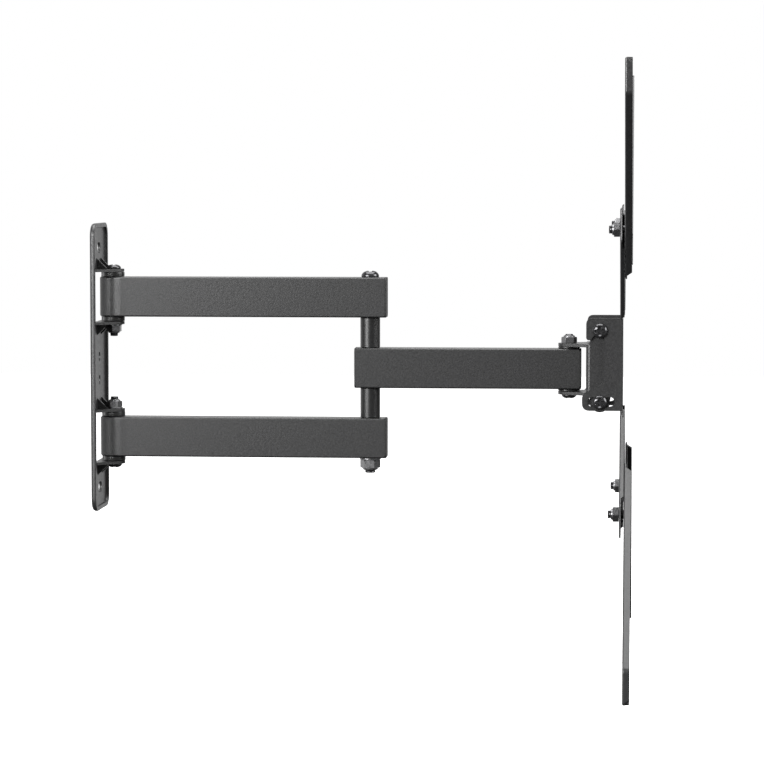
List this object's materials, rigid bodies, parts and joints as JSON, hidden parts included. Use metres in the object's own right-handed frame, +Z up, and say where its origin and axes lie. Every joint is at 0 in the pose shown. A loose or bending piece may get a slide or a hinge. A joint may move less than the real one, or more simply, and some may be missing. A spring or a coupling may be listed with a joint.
{
  "type": "full motion tv wall mount",
  "caption": "Articulated television wall mount: wall plate, paired rear arms, front arm, swivelling head and tilting plate with diagonal extension arms.",
  "frame": {"origin": "middle of the wall plate's flat back face", "axes": "+X away from the wall towards the television, +Y sideways, +Z up"},
  "size_m": [0.3964, 0.432, 0.432],
  "materials": {
    "powder_coat": "fine-grained satin black powder coat",
    "spacer_paint": "smooth semi-gloss black paint",
    "black_screw": "glossy black-plated steel",
    "dark_zinc": "dark zinc-plated steel",
    "pivot_bush": "smooth black acetal",
    "end_plug": "fine-textured black plastic",
    "sleeve": "turned bright steel"
  },
  "bodies": {
    "wall_side": {"wall_plate": "powder_coat", "wall_pivot_screw_upper": "black_screw", "wall_pivot_screw_lower": "black_screw", "wall_pivot_washer_upper": "dark_zinc", "wall_pivot_washer_lower": "dark_zinc", "wall_pivot_nut_upper": "dark_zinc", "wall_pivot_nut_lower": "dark_zinc"},
    "rear_arms": {"rear_arm_upper": "powder_coat", "rear_arm_lower": "powder_coat", "rear_arm_plug_upper": "end_plug", "rear_arm_plug_lower": "end_plug", "wall_pivot_sleeve_upper": "sleeve", "wall_pivot_sleeve_lower": "sleeve", "elbow_sleeve_upper": "sleeve", "elbow_sleeve_lower": "sleeve", "wall_bush_upper_top": "pivot_bush", "wall_bush_upper_bottom": "pivot_bush", "wall_bush_lower_top": "pivot_bush", "wall_bush_lower_bottom": "pivot_bush", "elbow_spacer_upper": "spacer_paint", "elbow_spacer_lower": "spacer_paint", "elbow_bolt": "black_screw", "elbow_washer": "dark_zinc", "elbow_nut": "dark_zinc"},
    "front_arm": {"front_arm": "powder_coat", "front_arm_plug_elbow": "end_plug", "front_arm_plug_head": "end_plug", "front_elbow_sleeve": "sleeve", "head_pivot_sleeve": "sleeve", "head_bush_top": "pivot_bush", "head_bush_bottom": "pivot_bush"},
    "swivel_head": {"head_bracket": "powder_coat", "head_pivot_screw": "black_screw", "head_pivot_nut": "dark_zinc", "tilt_screw_near": "black_screw", "tilt_screw_far": "black_screw", "tilt_nut_near": "dark_zinc", "tilt_nut_far": "dark_zinc", "lock_screw_near": "black_screw", "lock_screw_far": "black_screw", "lock_nut_near": "dark_zinc", "lock_nut_far": "dark_zinc"},
    "tv_plate": {"centre_plate": "powder_coat", "extension_arm_upper_far": "powder_coat", "extension_arm_upper_near": "powder_coat", "extension_arm_lower_near": "powder_coat", "extension_arm_lower_far": "powder_coat", "extension_bolt_upper_far": "black_screw", "extension_bolt_upper_near": "black_screw", "extension_bolt_lower_near": "black_screw", "extension_bolt_lower_far": "black_screw", "extension_nut_upper_far": "dark_zinc", "extension_nut_upper_near": "dark_zinc", "extension_nut_lower_near": "dark_zinc", "extension_nut_lower_far": "dark_zinc"}
  },
  "joints": [
    {"name": "wall_pivot", "type": "hinge", "parent": "wall_side", "child": "rear_arms", "pos_m": [0.0131, 0, 0], "axis": [0, 0, 1], "range_deg": [-90, 90]},
    {"name": "elbow", "type": "hinge", "parent": "rear_arms", "child": "front_arm", "pos_m": [0.20393, 0, 0], "axis": [0, 0, -1], "range_deg": [-125, 125]},
    {"name": "head_swivel", "type": "hinge", "parent": "front_arm", "child": "swivel_head", "pos_m": [0.3504, 0, 0], "axis": [0, 0, 1], "range_deg": [-80, 80]},
    {"name": "tilt", "type": "hinge", "parent": "swivel_head", "child": "tv_plate", "pos_m": [0.3733, 0, 0.0292], "axis": [0, 1, 0], "range_deg": [-5, 7]}
  ]
}
